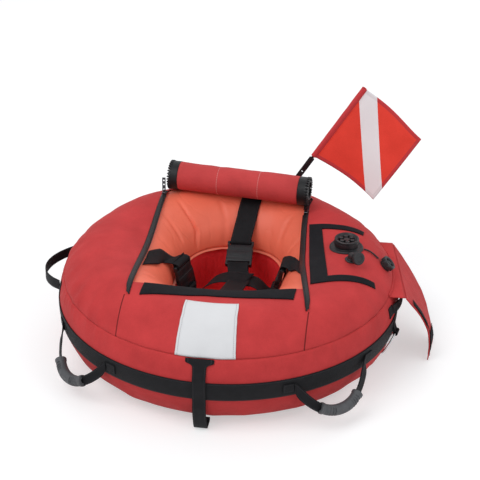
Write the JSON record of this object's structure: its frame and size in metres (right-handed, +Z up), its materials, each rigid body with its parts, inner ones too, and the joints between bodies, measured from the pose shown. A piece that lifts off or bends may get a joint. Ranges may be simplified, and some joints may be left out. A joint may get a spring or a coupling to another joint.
{
  "type": "dive flag float",
  "caption": "Round inflatable dive float in a fabric cover, with a roll-back lid, crossed inner straps, grips, valves, a flap, a ring and a small flag on a leaning pole.",
  "frame": {"origin": "centre of the round base, on the floor", "axes": "+Z up; the front, with the white panel, is towards -Y; the valve flap is towards +X"},
  "size_m": [0.9328, 0.8088, 0.5463],
  "materials": {
    "cover_fabric": "red woven nylon",
    "lining_fabric": "dark red woven nylon",
    "coated_fabric": "orange coated fabric, slightly glossy",
    "flag_cloth": "red flag cloth with a white diagonal stripe",
    "white_cloth": "white cloth",
    "webbing": "black woven webbing",
    "black_plastic": "black moulded plastic",
    "grey_rubber": "dark grey soft rubber",
    "steel": "bright steel"
  },
  "bodies": {
    "float": {"top_panel": "cover_fabric", "upper_side_panel": "cover_fabric", "lower_side_panel": "cover_fabric", "base_panel": "lining_fabric", "well_lining": "lining_fabric", "drain_eyelet": "steel", "belt": "webbing", "air_tube": "coated_fabric", "white_panel": "white_cloth", "front_fastener": "webbing", "valve_fastener": "webbing", "left_zip": "webbing", "right_zip": "webbing", "rear_inner_strap": "webbing", "left_inner_strap": "webbing", "right_inner_strap": "webbing", "strap_cross": "webbing", "rear_buckle_female": "black_plastic", "left_buckle_female": "black_plastic", "right_buckle_female": "black_plastic", "front_strap": "webbing", "left_loop_front_tack": "webbing", "left_loop_rear_tack": "webbing", "right_loop_front_tack": "webbing", "right_loop_rear_tack": "webbing", "flap_hem": "webbing", "valve_flange": "black_plastic", "valve_body": "black_plastic", "valve_spring": "steel", "cap_tether": "black_plastic", "mouth_valve": "black_plastic", "flag_socket": "webbing"},
    "left_slider": {"left_slider": "steel"},
    "left_pull": {"left_pull": "steel"},
    "right_slider": {"right_slider": "steel"},
    "right_pull": {"right_pull": "steel"},
    "lid": {"rolled_lid": "cover_fabric", "lid_zip_left": "webbing", "lid_zip_right": "webbing"},
    "rear_buckle": {"rear_buckle_male": "black_plastic"},
    "left_buckle": {"left_buckle_male": "black_plastic"},
    "right_buckle": {"right_buckle_male": "black_plastic"},
    "front_left_handle": {"front_left_webbing": "webbing", "front_left_grip": "grey_rubber"},
    "front_right_handle": {"front_right_webbing": "webbing", "front_right_grip": "grey_rubber"},
    "rear_left_handle": {"rear_left_webbing": "webbing", "rear_left_grip": "grey_rubber"},
    "rear_right_handle": {"rear_right_webbing": "webbing", "rear_right_grip": "grey_rubber"},
    "left_loop": {"left_loop": "webbing"},
    "right_loop": {"right_loop": "webbing"},
    "ring": {"ring": "steel"},
    "flap": {"valve_flap": "cover_fabric", "flap_fastener": "webbing"},
    "plunger": {"valve_plunger": "black_plastic"},
    "valve_cap": {"valve_cap": "black_plastic"},
    "mouth_cap": {"mouth_cap": "black_plastic"},
    "pole": {"flag_pole": "black_plastic"},
    "flag": {"flag": "flag_cloth"}
  },
  "joints": [
    {"name": "left_zip_slide", "type": "slide", "parent": "float", "child": "left_slider", "axis": [0.0471, -0.9926, 0.1123], "range_m": [0, 0.015]},
    {"name": "left_pull_swing", "type": "hinge", "parent": "left_slider", "child": "left_pull", "pos_m": [-0.204, 0.2086, 0.2746], "axis": [-0.9967, -0.0541, -0.0602], "range_deg": [-90, 70]},
    {"name": "right_zip_slide", "type": "slide", "parent": "float", "child": "right_slider", "axis": [0.0576, -0.9919, -0.1131], "range_m": [0, 0.015]},
    {"name": "right_pull_swing", "type": "hinge", "parent": "right_slider", "child": "right_pull", "pos_m": [0.1546, 0.1834, 0.2716], "axis": [-0.5433, 0.8393, 0.0196], "range_deg": [-110, 40]},
    {"name": "lid_rock", "type": "hinge", "parent": "float", "child": "lid", "pos_m": [-0.0172, 0.2619, 0.2663], "axis": [-0.9976, 0.0698, 0], "range_deg": [0, 30]},
    {"name": "rear_buckle_release", "type": "slide", "parent": "float", "child": "rear_buckle", "axis": [-0.0754, 0.9232, 0.3768], "range_m": [0, 0.0215], "deforming": ["rear_inner_strap"]},
    {"name": "left_buckle_release", "type": "slide", "parent": "float", "child": "left_buckle", "axis": [-0.2079, 0, 0.9782], "range_m": [0, 0.0215], "deforming": ["left_inner_strap"]},
    {"name": "right_buckle_release", "type": "slide", "parent": "float", "child": "right_buckle", "axis": [0.306, 0, 0.952], "range_m": [0, 0.0215], "deforming": ["right_inner_strap"]},
    {"name": "front_left_grip_swing", "type": "hinge", "parent": "float", "child": "front_left_handle", "pos_m": [-0.2809, -0.2751, 0.126], "axis": [-0.6997, 0.7145, 0], "range_deg": [0, 75]},
    {"name": "front_right_grip_swing", "type": "hinge", "parent": "float", "child": "front_right_handle", "pos_m": [0.2809, -0.2751, 0.126], "axis": [-0.6997, -0.7145, 0], "range_deg": [0, 75]},
    {"name": "rear_left_grip_swing", "type": "hinge", "parent": "float", "child": "rear_left_handle", "pos_m": [-0.2809, 0.2751, 0.126], "axis": [0.6997, 0.7145, 0], "range_deg": [0, 75]},
    {"name": "rear_right_grip_swing", "type": "hinge", "parent": "float", "child": "rear_right_handle", "pos_m": [0.2809, 0.2751, 0.126], "axis": [0.6997, -0.7145, 0], "range_deg": [0, 75]},
    {"name": "left_loop_lift", "type": "hinge", "parent": "float", "child": "left_loop", "pos_m": [-0.3896, -0.017, 0.1755], "axis": [-0.0436, 0.999, 0], "range_deg": [0, 60]},
    {"name": "right_loop_lift", "type": "hinge", "parent": "float", "child": "right_loop", "pos_m": [0.3891, 0.0272, 0.1755], "axis": [0.0698, -0.9976, 0], "range_deg": [0, 12]},
    {"name": "ring_swing", "type": "hinge", "parent": "float", "child": "ring", "pos_m": [0.4058, -0.0498, 0.1], "axis": [-0.1219, -0.9925, 0], "range_deg": [0, 90]},
    {"name": "flap_lift", "type": "hinge", "parent": "float", "child": "flap", "pos_m": [0.3957, 0.0841, 0.187], "axis": [0.2079, -0.9781, 0], "range_deg": [0, 135]},
    {"name": "valve_press", "type": "slide", "parent": "float", "child": "plunger", "axis": [0, 0, -1], "range_m": [0, 0.0035], "stiffness_N_per_m": 300, "springref_m": -0.003, "deforming": ["valve_spring"]},
    {"name": "valve_cap_lift", "type": "slide", "parent": "float", "child": "valve_cap", "axis": [0.7055, 0.0485, 0.707], "range_m": [0, 0.03]},
    {"name": "mouth_cap_pull", "type": "slide", "parent": "float", "child": "mouth_cap", "axis": [0.5988, -0.7562, 0.2639], "range_m": [0, 0.015]},
    {"name": "pole_pull", "type": "slide", "parent": "float", "child": "pole", "axis": [0.521, 0, 0.8536], "range_m": [0, 0.05]},
    {"name": "flag_swivel", "type": "hinge", "parent": "pole", "child": "flag", "pos_m": [0.0935, 0.325, 0.256], "axis": [0.521, 0, 0.8536], "range_deg": [-60, 180]}
  ]
}
